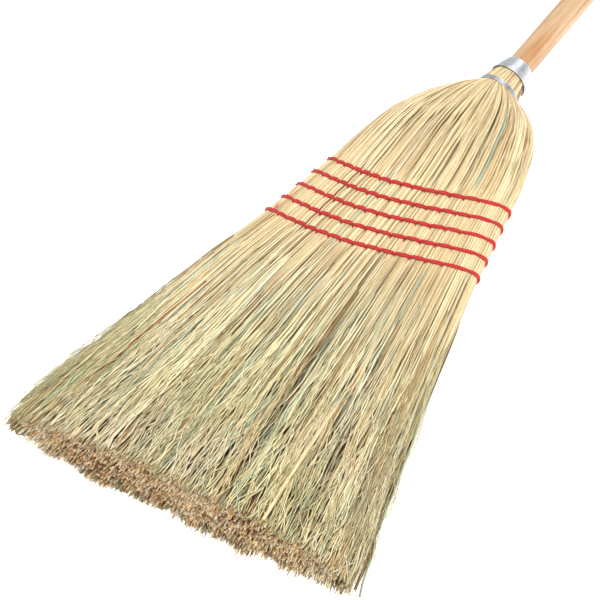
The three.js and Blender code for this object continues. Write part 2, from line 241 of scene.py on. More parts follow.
def closedCord(paths, outward, radius, sides):
    # rings joined end to end into endless cords; paths is (cords, rings, 3) in mm
    along = unit(np.roll(paths, -1, axis=1) - np.roll(paths, 1, axis=1))
    side = unit(np.cross(along, outward))
    up = unit(np.cross(side, along))
    turn = np.arange(sides) / sides * 2 * math.pi
    corners = paths[:, :, None] + radius * (side[:, :, None] * np.cos(turn)[:, None]
                                            + up[:, :, None] * np.sin(turn)[:, None])
    cords, rings = paths.shape[:2]
    index = np.arange(cords * rings * sides).reshape(cords, rings, sides)
    nextRing, nextSide = np.roll(index, -1, axis=1), np.roll(index, -1, axis=2)
    both = np.roll(nextRing, -1, axis=2)
    loops = np.stack([index, nextRing, both, nextSide], axis=-1).reshape(-1)
    length = np.cumsum(np.linalg.norm(np.roll(paths, -1, axis=1) - paths, axis=2), axis=1) / 1000
    lay = np.stack(np.broadcast_arrays(np.cos(turn), np.sin(turn), length[:, :, None]), axis=-1)
    return corners.reshape(-1, 3) / 1000 + homeArray, loops, lay.reshape(-1, 3)


def paint(red, green, blue):
    # a screen colour from 0 to 255 as the linear one that sockets take
    channels = [c / 255 for c in (red, green, blue)]
    return [c / 12.92 if c <= 0.04045 else ((c + 0.055) / 1.055) ** 2.4 for c in channels] + [1.0]


class Port:
    # an output socket that takes part in sums
    def __init__(self, shop, socket):
        self.shop, self.socket = shop, socket

    def maths(self, operation, left, right=None):
        values = (left,) if right is None else (left, right)
        return self.shop.add("ShaderNodeMath", {"operation": operation}, dict(enumerate(values)))

    def __add__(self, other):
        return self.maths("ADD", self, other)

    def __sub__(self, other):
        return self.maths("SUBTRACT", self, other)

    def __rsub__(self, other):
        return self.maths("SUBTRACT", other, self)

    def __mul__(self, other):
        return self.maths("MULTIPLY", self, other)

    __radd__, __rmul__ = __add__, __mul__

    def clamped(self):
        return self.shop.add("ShaderNodeClamp", {}, {0: self})

    def sine(self):
        return self.maths("SINE", self)

    def cosine(self):
        return self.maths("COSINE", self)

    def ramp(self, low, high):
        # 0 at low, 1 at high, and even in between
        return ((self - low) * (1 / (high - low))).clamped()


class Workshop:
    # one material and its nodes
    def __init__(self, name, roughness=0.6, metallic=0.0):
        self.material = bpy.data.materials.new(name)
        self.material.use_nodes = True
        self.tree = self.material.node_tree
        self.shader = self.tree.nodes["Principled BSDF"]
        self.shader.inputs["Roughness"].default_value = roughness
        self.shader.inputs["Metallic"].default_value = metallic

    def add(self, kind, settings, values, output=0):
        node = self.tree.nodes.new(kind)
        for key, value in settings.items():
            if key == "stops":
                ramp = node.color_ramp
                while len(ramp.elements) < len(value):
                    ramp.elements.new(0.5)
                for element, (position, colour) in zip(ramp.elements, value):
                    element.position, element.color = position, colour
            else:
                setattr(node, key, value)
        for key, value in values.items():
            self.plug(node.inputs[key], value)
        return Port(self, node.outputs[output])

    def plug(self, socket, value):
        if isinstance(value, Port):
            self.tree.links.new(value.socket, socket)
        else:
            socket.default_value = value

    def attribute(self, name, output="Fac"):
        return self.add("ShaderNodeAttribute", {"attribute_name": name}, {}, output)

    def vector(self, x, y, z):
        return self.add("ShaderNodeCombineXYZ", {}, {0: x, 1: y, 2: z})

    def split(self, vector):
        node = self.tree.nodes.new("ShaderNodeSeparateXYZ")
        self.plug(node.inputs[0], vector)
        return [Port(self, out) for out in node.outputs]

    def noise(self, vector, scale, detail=2.0, roughness=0.5, distortion=0.0):
        values = {"Vector": vector, "Scale": scale, "Detail": detail, "Roughness": roughness,
                  "Distortion": distortion}
        return self.add("ShaderNodeTexNoise", {"noise_dimensions": "3D"}, values)

    def blend(self, factor, first, second, mode="MIX"):
        settings = {"data_type": "RGBA", "blend_type": mode, "clamp_factor": True}
        return self.add("ShaderNodeMix", settings, {0: factor, 6: first, 7: second}, 2)

    def place(self, size):
        # object coordinates in metres, stretched by size
        spot = self.add("ShaderNodeTexCoord", {}, {}, "Object")
        return self.add("ShaderNodeMapping", {"vector_type": "POINT"},
                        {"Vector": spot, "Location": [-c * s for c, s in zip(home, size)], "Scale": size})

    def bump(self, height, strength, distance):
        return self.add("ShaderNodeBump", {}, {"Height": height, "Strength": strength, "Distance": distance})

    def finish(self, **values):
        for key, value in values.items():
            self.plug(self.shader.inputs[key.replace("_", " ")], value)
        return self.material


# the edge tone is painted shade on the side of each stalk turned in, away from the light; the dark brown tone
# last is painted shade for depth
strawTones = {
    "sweep": paint(240, 246, 222), "streak": paint(206, 178, 132), "edge": paint(148, 128, 88),
    "own": paint(194, 182, 146), "end": paint(206, 160, 112), "paintedShade": paint(66, 52, 30),
}
hurlStraw = {
    "stops": [
        (0.00, paint(169, 119, 73)), (0.10, paint(206, 169, 118)), (0.18, paint(223, 198, 151)),
        (0.45, paint(236, 216, 173)), (0.70, paint(242, 227, 188)), (0.84, paint(248, 238, 210)),
        (0.90, paint(226, 221, 183)), (0.96, paint(210, 215, 182)), (1.00, paint(189, 204, 178)),
    ],
    "green": 0.7, "paintedShade": 0.92, "end": 0.3, "edge": 0.78, "own": 0.6,
}
sweepStraw = {
    "stops": [
        (0.00, paint(178, 136, 92)), (0.10, paint(213, 185, 137)), (0.18, paint(229, 213, 171)),
        (0.45, paint(239, 230, 193)), (0.70, paint(244, 240, 209)), (0.84, paint(248, 246, 225)),
        (0.90, paint(227, 234, 203)), (0.96, paint(204, 224, 200)), (1.00, paint(184, 211, 192)),
    ],
    "green": 0.65, "paintedShade": 0.96, "end": 0.15, "edge": 0.62, "own": 0.5,
}
# the cut ends' ramp: its brown low end is the ends' own colour; its pale high end runs lighter as painted
# light on the cut face, which gets little key light
cutStraw = {
    "stops": [
        (0.00, paint(104, 64, 36)), (0.14, paint(172, 120, 70)), (0.32, paint(230, 182, 120)),
        (0.52, paint(249, 217, 160)), (0.78, paint(252, 238, 196)), (1.00, paint(255, 250, 228)),
    ],
    "green": 0.0, "paintedShade": 0.92, "end": 0.0, "edge": 0.3, "own": 0.2,
}


def strawMaterial(name, look):
    shop = Workshop(name, roughness=0.5)
    tint, station, shade = (shop.attribute(fact) for fact in ("tint", "station", "shade"))
    a, b, length = shop.split(shop.attribute("lay", "Vector"))
    spot = shop.vector(tint * 91.0 + a * 0.14, length * 24.0, tint * 37.0 + b * 0.14)
    streak = shop.noise(spot, 5.0, 3.0, 0.6)
    blotch = shop.noise(shop.place((14.0, 9.0, 14.0)), 1.0, 2.0)
    own = shop.add("ShaderNodeTexWhiteNoise", {"noise_dimensions": "1D"}, {"W": tint * 977.0})
    # each tone is multiplied in by its share
    shares = {
        "sweep": (1.0 - station).ramp(0.42, 0.85) * blotch.ramp(0.38, 0.62) * look["green"],
        "streak": (1.0 - streak).ramp(0.42, 0.66) * 0.35,
        # painted shade on the side of each stalk turned in, away from the light
        "edge": (0.8 - b).ramp(0.0, 0.8) * look["edge"],
        "own": own.ramp(0.35, 1.0) * look["own"],
        "end": (0.009 - station).ramp(-0.003, 0.009) * look["end"],
    }
    colour = shop.add("ShaderNodeValToRGB", {"stops": look["stops"]}, {0: tint})
    for tone, share in shares.items():
        colour = shop.blend(share, colour, strawTones[tone], "MULTIPLY")
    # painted shade: stalks that lie deep are blended towards dark brown
    colour = shop.blend(shade.clamped() * look["paintedShade"], colour, strawTones["paintedShade"])
    normal = shop.bump(streak, 0.3, 0.0003)
    return shop.finish(Base_Color=colour, Roughness=streak * 0.25 + 0.38, Normal=normal)


# the packed inner straw is painted dark brown as painted shade, since it is only seen deep in the gaps
def coreMaterial():
    shop = Workshop("inner_straw_painted_shade", roughness=0.85)
    grain = shop.noise(shop.place((520.0, 9.0, 520.0)), 1.0, 3.0)
    colour = shop.blend(grain.ramp(0.3, 0.7), paint(44, 32, 18), paint(104, 82, 48))
    return shop.finish(Base_Color=colour, Normal=shop.bump(grain, 0.6, 0.002))


woodLook = {
    "grain": (560.0, 9.0, 560.0), "broad": (60.0, 5.0, 60.0), "pores": (1500.0, 34.0, 1500.0),
    "stops": [(0.30, paint(160, 116, 76)), (0.42, paint(184, 146, 106)), (0.52, paint(197, 167, 131)),
              (0.70, paint(202, 179, 148))],
    "poreTint": paint(205, 160, 118), "stainTint": paint(226, 176, 122), "stainFrom": 0.512,
}


def woodMaterial(look):
    shop = Workshop("turned_wood", roughness=0.42)
    grain = shop.noise(shop.place(look["grain"]), 1.0, 4.0, 0.6, 0.6)
    broad = shop.noise(shop.place(look["broad"]), 1.0, 2.0)
    pores = shop.noise(shop.place(look["pores"]), 1.0, 2.0, 0.5)
    colour = shop.add("ShaderNodeValToRGB", {"stops": look["stops"]}, {0: grain * 0.62 + broad * 0.42})
    colour = shop.blend(pores.ramp(0.52, 0.66) * 0.55, colour, look["poreTint"], "MULTIPLY")
    y = shop.split(shop.add("ShaderNodeTexCoord", {}, {}, "Object"))[1]
    stain = (y - (home.y + look["stainFrom"])).ramp(0.06, 0.02) * broad.ramp(0.36, 0.52)
    colour = shop.blend(stain * 0.75, colour, look["stainTint"], "MULTIPLY")
    return shop.finish(Base_Color=colour, Roughness=pores * 0.2 + 0.34, Normal=shop.bump(pores, 0.12, 0.0002))


wireLook = {"dull": paint(186, 190, 195), "bright": paint(212, 215, 219), "groove": paint(118, 121, 126)}


def wireMaterial(name, wound):
    shop = Workshop(name, roughness=0.4, metallic=1.0)
    wear = shop.noise(shop.place((260.0, 260.0, 260.0)), 1.0, 3.0)
    colour = shop.blend(wear.ramp(0.35, 0.7), wireLook["dull"], wireLook["bright"])
    if wound:
        # painted shade: the flanks of each turn, down in the groove between two turns, are darkened
        up = shop.split(shop.attribute("lay", "Vector"))[1]
        colour = shop.blend((0.8 - up).ramp(0.0, 0.7), colour, wireLook["groove"], "MULTIPLY")
    return shop.finish(Base_Color=colour, Roughness=wear * 0.14 + 0.4)


def twineMaterial(name, light, plyShade, plies):
    shop = Workshop(name, roughness=0.7)
    a, b, length = shop.split(shop.attribute("lay", "Vector"))
    turn = length * plies
    # the plies' helix is painted: dark red in the grooves between plies as painted shade, mixed with the
    # fibres' own fuzz
    ply = turn.sine() * a + turn.cosine() * b
    fuzz = shop.noise(shop.place((1500.0, 1500.0, 1500.0)), 1.0, 3.0)
    colour = shop.blend(((ply * 0.5 + 0.5) * 0.6 + fuzz * 0.55).clamped(), plyShade, light)
    return shop.finish(Base_Color=colour, Normal=shop.bump(ply + fuzz * 0.6, 0.4, 0.0004))


stalkFinish = strawMaterial("hurl_straw", hurlStraw)
sweepFinish = strawMaterial("sweep_straw", sweepStraw)
endsFinish = strawMaterial("cut_straw_ends", cutStraw)
coreFinish = coreMaterial()
woodFinish = woodMaterial(woodLook)
wireFinish = wireMaterial("galvanised_wire", wound=False)
windingFinish = wireMaterial("wound_wire", wound=True)
twineFinish = twineMaterial("red_twine", paint(200, 44, 40), paint(138, 16, 22), 4200.0)
threadFinish = twineMaterial("loose_red_thread", paint(240, 120, 112), paint(214, 70, 70), 9000.0)
print("stage 2: materials are ready")


def bendWithSweep(piece, slot, *nodes):
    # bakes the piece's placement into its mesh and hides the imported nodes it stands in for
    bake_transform(piece)
    if nodes:
        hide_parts(*nodes)


def waves(rng, y, lengths, strength, groups):
    # a smooth wander along each stalk, as a sum of sine waves; stalks of one group share it
    total = np.zeros_like(y)
    count = groups.max() + 1
    for length, amount in zip(lengths, strength):
        phase = rng.uniform(0, 2 * math.pi, count)[groups][:, None]
        size = rng.normal(0, amount, count)[groups][:, None]
        pace = rng.uniform(0.75, 1.3, count)[groups][:, None]
        total += size * np.sin(2 * math.pi * y * pace / length + phase)
    return total


def fieldRamp(y, low, high):
    # rises smoothly from 0 at low to 1 at high
    share = np.clip((y - low) / (high - low), 0, 1)
    return share * share * (3 - 2 * share)


def arcRate(y, angle):
    # how many mm of rim one radian covers
    return np.hypot(profileAt("width", y) * np.sin(angle), profileAt("thick", y) * np.cos(angle)) + 1.0


def outwardAt(y, angle):
    # straight out of the oval
    return unit(np.stack([np.cos(angle) / profileAt("width", y), 0 * y,
                          np.sin(angle) / profileAt("thick", y)], axis=-1))


def trimmedTip(x, z):
    # where the ends are cut: nearly level, with shallow notches between clumps
    corners = 3.5 * (x / 170) ** 2 * (0.7 - z / 60)
    notches = 1.2 * np.sin(x / 8.3 + 1.3) + 1.1 * np.sin(x / 3.7 + z / 6.0)
    return notches * (1 + 0.9 * np.clip(-z / 26, 0, 1)) + 1.5 * np.sin(x / 21.0 + 2.0) - corners


def strawTints(rng, count, brown, green):
    tint = 0.14 + rng.beta(2.0, 2.0, count) * 0.68
    odd = rng.uniform(0, 1, count)
    tint = np.where(odd < brown, rng.uniform(0, 0.12, count), tint)
    return np.where(odd > 1 - green, rng.uniform(0.86, 1.0, count), tint)


def paintedDepthShade(depth, y, tip):
    # painted shade for how deep a stalk lies under the surface, so the gaps between stalks look dark: the cut
    # ends lie open to the light and are left unshaded
    free = 1 - fieldRamp(y, 90, 262)
    bared = np.clip((y - tip[:, None]) / 12 + 0.05, 0, 1)
    return np.clip((depth - 0.6 - 0.3 * free) / (3.2 - 0.6 * free), 0, 1) * bared


hurlLook = {
    "count": 760, "sides": 5,
    "stations": [507, 499, 493, 491, 486, 480.5, 478.5, 474, 471, 466, 459, 450, 439, 426, 411, 395, 378, 366,
                 358, 354.5, 349.5, 343, 336.5, 331.5, 325, 318.5, 313.5, 307, 300.5, 295.5, 289, 282.5,
                 277.5, 269, 256, 238, 216, 192, 166, 138, 110, 84, 58, 32, 12, 0],
    "widths": [(0, 1.1), (60, 1.2), (130, 1.45), (230, 1.6), (300, 2.0), (400, 2.3), (440, 2.3), (474, 1.8),
               (507, 1.6)],
    "upper": 0.46,  # the share of stalks that lie on top
    "sunk": 1.5,  # how much deeper the others lie between the neck and the rows
    "neckDepth": 7.4, "sewnDepth": 1.4, "freeDepth": 7.0, "flat": 0.5, "brown": 0.02, "green": 0.03,
}
underLook = {
    "count": 1100, "sides": 3,
    "stations": [462, 440, 415, 390, 370, 358, 352, 343, 334, 325, 316, 307, 298, 289, 280, 268, 250, 226,
                 200, 172, 144, 116, 90, 64, 38, 15, 0],
    "widths": [(0, 0.9), (60, 1.0), (130, 1.4), (230, 2.0), (300, 2.3), (462, 2.2)],
    "upper": 0.0, "sunk": 1.0, "neckDepth": 9.0, "sewnDepth": 5.0, "freeDepth": 9.0, "flat": 0.6,
    "brown": 0.05, "green": 0.04,
}
# what the outer and the under stalks share
stalkHabit = {
    "tipSpread": 1.3, "shortShare": 0.2, "shortBy": (4, 60), "topSpread": (-1.5, 1.0), "tipZone": 84,
    "neckUpper": (0.0, 1.2), "neckLeast": 2.8, "sewnLeast": 0.1, "freeUpper": (0.0, 1.0), "freeLeast": 2.5,
    "sink": ((150, 60), (0.8, 0.4)), "sway": ((260, 110), (2.4, 1.3)), "ripple": ((90, 40), (0.8, 0.25)),
    "splay": 5, "widthSpread": 0.24, "rollSpread": 0.25,
}


def growStalks(name, look, angles, rng, material):
    # long stalks, from the binding through the sewn rows to the cut ends
    habit = stalkHabit
    count = len(angles)
    alone = np.arange(count)
    stations = np.array(look["stations"], float)
    start = headPoint(np.full(count, 2.0), angles, pinched=False)
    tip = trimmedTip(start[:, 0], start[:, 2]) + rng.normal(0, habit["tipSpread"], count)
    short = rng.uniform(0, 1, count) < habit["shortShare"]
    tip += np.where(short, rng.uniform(*habit["shortBy"], count), 0)
    top = rng.uniform(*habit["topSpread"], count)
    y = stations + np.outer(top, np.clip((stations - 493) / 14, 0, 1)) \
        + np.outer(tip, np.clip(1 - stations / habit["tipZone"], 0, 1))
    # where the stalk is free, bound by the wire, sewn, or swells between wire and rows
    free = 1 - fieldRamp(y, 40, 262)
    bound = fieldRamp(y, 395, 474)
    sewn = fieldRamp(y, 262, 284) * (1 - fieldRamp(y, 352, 372))
    above = fieldRamp(y, 366, 410) * (1 - fieldRamp(y, 430, 474))
    upper = rng.uniform(0, 1, (count, 1)) < look["upper"]
    high = rng.uniform(*habit["neckUpper"], (count, 1))
    low = rng.uniform(habit["neckLeast"], look["neckDepth"], (count, 1))
    depth = bound * np.where(upper, high, low)
    middle = rng.uniform(habit["sewnLeast"], look["sewnDepth"], (count, 1))
    depth += (1 - bound) * (1 - free) * (middle + look["sunk"] * ~upper * (1 - sewn))
    onTop = rng.uniform(0, 1, (count, 1)) < look["upper"] * 0.65
    high = rng.uniform(*habit["freeUpper"], (count, 1))
    low = rng.uniform(habit["freeLeast"], look["freeDepth"], (count, 1))
    depth += free * np.where(onTop, high, low)
    depth += np.abs(waves(rng, y, *habit["sink"], alone)) * (0.1 + free + 1.2 * above)
    lateral = waves(rng, y, *habit["sway"], alone) * (0.03 + free)
    lateral += waves(rng, y, *habit["ripple"], alone) * above
    lateral += rng.normal(0, habit["splay"], (count, 1)) * free ** 1.4
    turned = angles[:, None] + lateral / arcRate(y, angles[:, None])
    half = np.interp(y, *np.array(look["widths"]).T) * rng.lognormal(0, habit["widthSpread"], (count, 1)) / 2
    tint = strawTints(rng, count, look["brown"], look["green"])
    facts = {"tint": tint, "station": y / 500, "shade": paintedDepthShade(depth, y, tip)}
    return sweepStalks(name, stalkBlank(look["sides"], len(stations)), headPoint(y, turned, depth),
                       outwardAt(y, turned), half, half * look["flat"], material, facts,
                       rng.normal(0, habit["rollSpread"], count))


rng = np.random.default_rng(20)
hurlAngles = evenAngles(hurlLook["count"], 400, rng)
underAngles = evenAngles(underLook["count"], 316, rng)
for part, side in (("front", 1), ("back", -1)):
    hurl = growStalks(f"{part}_hurl_stalks", hurlLook, hurlAngles[np.sin(hurlAngles) * side > 0], rng,
                      stalkFinish)
    bendWithSweep(hurl, "hurl", f"{part}_hurl", f"{part}_bristles")
    under = growStalks(f"{part}_under_stalks", underLook, underAngles[np.sin(underAngles) * side > 0], rng,
                       stalkFinish)
    bendWithSweep(under, "hurl")
print("stage 3: the long stalks are laid")

fibreLook = {
    "pieces": 4, "stems": 680, "each": 6, "sides": 3, "rings": 20,
    "start": (190, 310), "branch": (60, 200), "branchShare": 0.55,
    "tipSpread": 1.6, "shortShare": 0.16, "shortBy": (3, 45),
    "layers": [(0.0, 1.0), (2.4, 4.2), (5.5, 8.0)], "shares": [0.24, 0.18, 0.58],
    "stemSway": ((320, 130), (3.2, 1.8)), "curl": ((95, 42, 24), (2.2, 1.25, 0.55)),
    "ripple": ((80, 33), (0.8, 0.5)),
    "spread": 3.6, "curlSpread": 0.45, "fringe": 9.0, "proud": 1.2,
    "width": 1.3, "widthSpread": 0.36, "flat": 0.8, "rollSpread": 0.55, "brown": 0.05, "green": 0.13,
    # angle and reach of a few brown streaks
    "warm": [(1.225, 0.012), (1.36, 0.005), (0.62, 0.006), (2.2, 0.005)],
}


def sproutFibres(name, look, stems, rng, material):
    # each stem splits into fine fibres that spread, wander and cross on their way to the cut ends
    groups = np.repeat(np.arange(len(stems)), look["each"])
    count = len(groups)
    alone = np.arange(count)
    angles = stems[groups]
    start = rng.uniform(*look["start"], len(stems))[groups]
    late = rng.uniform(0, 1, count) < look["branchShare"]
    start = np.where(late, rng.uniform(*look["branch"], count), start)
    place = headPoint(np.full(count, 2.0), angles, pinched=False)
    tip = trimmedTip(place[:, 0], place[:, 2]) + rng.normal(0, look["tipSpread"], count)
    short = rng.uniform(0, 1, count) < look["shortShare"]
    tip += np.where(short, rng.uniform(*look["shortBy"], count), 0)
    share = np.linspace(0, 1, look["rings"])
    y = start[:, None] + (tip - start)[:, None] * share
    free = 1 - fieldRamp(y, 20, 262)
    parted = share[None] ** 1.2 * np.clip(start / 170, 0.5, 1.3)[:, None]
    lateral = waves(rng, y, *look["stemSway"], groups) * free
    lateral += rng.normal(0, look["spread"], (count, 1)) * parted
    curly = rng.lognormal(0, look["curlSpread"], (count, 1))
    lateral += waves(rng, y, *look["curl"], alone) * np.minimum(share * 4, 1) * free * curly
    layer = np.array(look["layers"])[rng.choice(len(look["layers"]), count, p=look["shares"])]
    depth = rng.uniform(layer[:, 0], layer[:, 1])[:, None] * (0.5 + 0.5 * free) + 4.0 * fieldRamp(y, 225, 290)
    depth += waves(rng, y, *look["ripple"], alone) * parted
    depth += rng.uniform(-0.7, 0.9, (count, 1)) * parted
    fringe = look["fringe"] * np.cos(angles) ** 8 * rng.uniform(0, 1, count) ** 2
    depth = np.maximum(depth, -look["proud"]) - fringe[:, None] * parted
    turned = angles[:, None] + lateral / arcRate(y, angles[:, None])
    half = look["width"] * rng.lognormal(-0.05, look["widthSpread"], (count, 1)) * (1.15 - 0.35 * share) / 2
    tint = strawTints(rng, len(stems), look["brown"], look["green"])[groups]
    tint = np.clip(tint + rng.normal(0, 0.07, count), 0, 1)
    for middle, reach in look["warm"]:
        tint = np.where(np.abs(angles - middle) < reach, tint * 0.25, tint)
    facts = {"tint": tint, "station": y / 500, "shade": paintedDepthShade(depth, y, tip)}
    return sweepStalks(name, stalkBlank(look["sides"], look["rings"]), headPoint(y, turned, depth),
                       outwardAt(y, turned), half, half * look["flat"], material, facts,
                       rng.normal(0, look["rollSpread"], count))


stems = evenAngles(fibreLook["stems"], 60, rng)
for number in range(fibreLook["pieces"]):
    bunch = stems[number::fibreLook["pieces"]]
    fibres = sproutFibres(f"sweep_fibres_{number + 1}", fibreLook, bunch, rng, sweepFinish)
    bendWithSweep(fibres, "bristle")
print("stage 4: the sweep's fibres are laid")

strayLook = {
    "count": 900, "sides": 3, "rings": 16, "start": (70, 250), "edgeShare": 0.45, "rightShare": 0.15,
    "sway": ((120, 48, 24), (4.0, 2.6, 1.2)), "ripple": ((60, 26), (1.6, 0.8)),
    "stand": 6.0, "proud": 12.0, "width": 0.6, "brown": 0.03, "green": 0.2,
}


def strayFibres(look, rng, material):
    # loose hairs that stand off the head, most of them along its two edges
    count = look["count"]
    alone = np.arange(count)
    edge = np.where(rng.uniform(0, 1, count) < look["rightShare"], 0.0, math.pi) + rng.normal(0, 0.5, count)
    atEdge = rng.uniform(0, 1, count) < look["edgeShare"]
    angles = np.where(atEdge, edge, evenAngles(count, 60, rng))
    start = rng.uniform(*look["start"], count) + np.where(atEdge, 0, 60)
    tip = start * rng.uniform(0.0, 0.35, count) + 1.0
    share = np.linspace(0, 1, look["rings"])
    y = start[:, None] + (tip - start)[:, None] * share
    lateral = (rng.normal(0, 6, (count, 1)) + waves(rng, y, *look["sway"], alone)) * share
    turned = angles[:, None] + lateral / arcRate(y, angles[:, None])
    flatter = np.abs(np.sin(angles))[:, None] > 0.5
    stand = np.abs(rng.normal(0, look["stand"], (count, 1))) * share ** 1.4 * np.where(flatter, 0.35, 1.3)
    ripple = waves(rng, y, *look["ripple"], alone) * share * np.where(flatter, 0.5, 1.0)
    depth = np.maximum(2.5 * (1 - share) - stand + ripple, -look["proud"])
    half = look["width"] * rng.lognormal(0, 0.2, (count, 1)) * (1 - 0.5 * share) / 2
    tint = strawTints(rng, count, look["brown"], look["green"])
    facts = {"tint": tint, "station": y / 500 + 0.1, "shade": y * 0}
    return sweepStalks("stray_fibres", stalkBlank(look["sides"], look["rings"]), headPoint(y, turned, depth),
                       outwardAt(y, turned), half, half, material, facts, rng.uniform(0, 3, count))


bendWithSweep(strayFibres(strayLook, rng, sweepFinish), "bristle")

broadLook = {"top": 150, "angle": (0.885, 0.945), "width": 3.4, "flat": 0.55, "rings": 30, "sides": 8,
             "tint": 0.145}


def broadStalk(look, material):
    # one thick stalk that lies across the fibres of the front
    share = np.linspace(0, 1, look["rings"])
    y = look["top"] * (1 - share) + 1.0
    angle = np.interp(share, (0, 1), look["angle"])
    depth = 2.5 * (1 - share) ** 3 - 0.9 + 0.3 * np.sin(y / 19)
    centre = headPoint(y, angle, depth)[None]
    half = np.full((1, look["rings"]), look["width"] / 2) * np.minimum(1, 0.3 + share * 6)
    facts = {"tint": np.array([look["tint"]]), "station": y[None] / 500 + 0.5, "shade": y[None] * 0}
    return sweepStalks("broad_stalk", stalkBlank(look["sides"], look["rings"]), centre,
                       outwardAt(y, angle)[None], half, half * look["flat"], material, facts)


bendWithSweep(broadStalk(broadLook, sweepFinish), "bristle")

endsLook = {
    "count": 9000, "sides": 3, "shares": (0, 0.62, 0.88, 1), "top": 30, "width": 1.3, "flat": 0.85,
    "recess": 2.6, "rim": 0.78,  # past the rim on the floor side more ends are long, fine and pale
    # the last pair lifts every cut end's tint as painted light on the cut face, and the low rim's ends more,
    # partly their own pale colour
    "longShares": (0.42, 0.08), "longBy": (1.5, 9), "paleTipsAndPaintedLight": (0.34, 0.1),
}


def fillEnds(look, rng, material):
    # short lengths of the inner straws, which fill the cut face
    count = look["count"]
    radius = np.sqrt(rng.uniform(0.0, 0.88, count))
    angle = rng.uniform(0, 2 * math.pi, count)
    share = np.array(look["shares"])
    level = headPoint(np.full(count, 2.0), angle, 1.0, pinched=False)
    lean = profileAt("lean", 2.0)
    x, z = lean + (level[:, 0] - lean) * radius, level[:, 2] * radius
    clump = np.sin(x / 5.3 + 2 * np.sin(z / 7.0)) * 0.9
    recess = np.abs(rng.normal(0, look["recess"], count))
    tip = trimmedTip(x, z) + clump + recess - 1.2
    lowRim = (z < 0) & (radius > look["rim"])
    fine = rng.uniform(0, 1, count) < np.where(lowRim, *look["longShares"])
    tip -= np.where(fine, rng.uniform(*look["longBy"], count), 0)
    y = look["top"] + (tip[:, None] - look["top"]) * share
    across = (x - lean) / profileAt("width", 2.0)
    spread = profileAt("width", y)
    centre = np.stack([profileAt("lean", y) + across[:, None] * spread,
                       y - profileAt("bow", y) * (1 - across ** 2)[:, None],
                       z[:, None] * profileAt("thick", y) / profileAt("thick", 2.0)], axis=-1)
    centre[:, 2:, 0] += np.cumsum(rng.normal(0, 0.6, (count, 2)), axis=1)
    centre[:, 2:, 2] += np.cumsum(rng.normal(0, 0.45, (count, 2)), axis=1)
    outward = np.zeros_like(centre) + np.array([0.1, 0, 1.0])
    half = rng.lognormal(math.log(look["width"]), 0.28, (count, 1)) / 2
    half = half * np.where(fine, 0.6, 1.0)[:, None] + 0 * y
    # painted shade: each end darkens up its sides away from its tip, and more where it sits recessed in the
    # cut face
    inside = (y - tip[:, None]) / 17 + np.clip(recess - 2.2, 0, 9)[:, None] / 4.0
    # the tint drifts across the face; the lift added after it is painted light, with more on the low rim
    patch = 0.12 * np.sin(x / 31 + 0.9) - 0.14 * np.cos(x / 80) + np.where(lowRim, *look["paleTipsAndPaintedLight"])
    tint = np.clip(rng.beta(0.8, 0.8, count) + patch, 0, 1)
    facts = {"tint": tint, "station": y / 500, "shade": inside}
    return sweepStalks("cut_ends", stalkBlank(look["sides"], len(share)), centre, outward, half,
                       half * look["flat"], material, facts, rng.uniform(0, 3, count))


bendWithSweep(fillEnds(endsLook, rng, endsFinish), "bristle")

coreLook = {"low": 26, "high": 488, "rings": 60, "sides": 56, "inward": 9.0, "neckInward": 5.0}


def buildCore(look, material):
    # the imported straw that the outer stalks lie on, painted dark brown as painted shade
    blank = stalkBlank(look["sides"], look["rings"])
    y = np.linspace(look["low"], look["high"], look["rings"])[blank["ring"]]
    angle = np.arctan2(blank["up"], blank["side"])
    neck = fieldRamp(y, 380, 470)
    inward = look["inward"] * (1 - neck) + look["neckInward"] * neck
    corners = headPoint(y, angle, inward, pinched=False) / 1000 + homeArray
    return newPiece("packed_straw_core", corners, blank["loops"], blank["sizes"], material,
                    {"station": y / 500})


core = buildCore(coreLook, coreFinish)
bendWithSweep(core, "inner_straw", "inner_straw", "left_shoulder_straw", "right_shoulder_straw",
              "inner_bristles", "left_bristles", "right_bristles")
print("stage 5: the cut face and the packed core are in")

bandLook = {"rings": 340, "radius": 1.12, "sides": 8, "apart": 0.74, "over": 0.4, "lift": 0.85,
            "edgeTurns": 4}
stitchLook = {"rings": 9, "radius": 0.72, "sides": 7, "flat": 0.8, "above": 0.3, "below": 3.1, "slant": 1.0,
              "peak": 0.22, "clear": 0.75, "dive": 1.6}


def stitchAngles():
    # the angles of the stitches of one row, once round the head, and their running numbers
    shares = stitchShares[::-1]
    front = np.arccos(np.sign(shares) * np.abs(shares) ** (1 / headShape["roundness"]))
    last = len(shares) - 1
    numbers = np.arange(len(shares))
    back = 2 * math.pi - front[::-1]
    around = last + bandLook["edgeTurns"]
    angles = np.r_[back[-1] - 2 * math.pi, front, back, front[0] + 2 * math.pi]
    return angles, np.r_[-bandLook["edgeTurns"], numbers, numbers + around, 2 * around]


def buildBand(row, rowY):
    # two strands that cross at every stitch, once round the head
    angle = rimAngles(rowY, np.arange(bandLook["rings"]) / bandLook["rings"])
    count = np.interp(angle, *stitchAngles()) + row
    wave = np.sin(math.pi * count)
    paths = []
    for side in (-1, 1):
        y = rowY + side * bandLook["apart"] * np.sign(wave) * np.abs(wave) ** 0.6 \
            + 0.2 * np.sin(angle * 17 + row * 2)
        lift = bandLook["lift"] + side * bandLook["over"] * np.cos(math.pi * count)
        paths.append(headPoint(y, angle, -lift - 0.8 * pinch(y, np.cos(angle), profileAt("width", y))))
    outward = outwardAt(np.full_like(angle, rowY), angle)[None]
    corners, loops, lay = closedCord(np.array(paths), outward, bandLook["radius"], bandLook["sides"])
    sizes = np.full(len(loops) // 4, 4)
    piece = newPiece(f"row_{row}_band_cord", corners, loops, sizes, twineFinish, {"lay": lay})
    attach(piece, "head")
    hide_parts(f"row_{row}_twine_band")


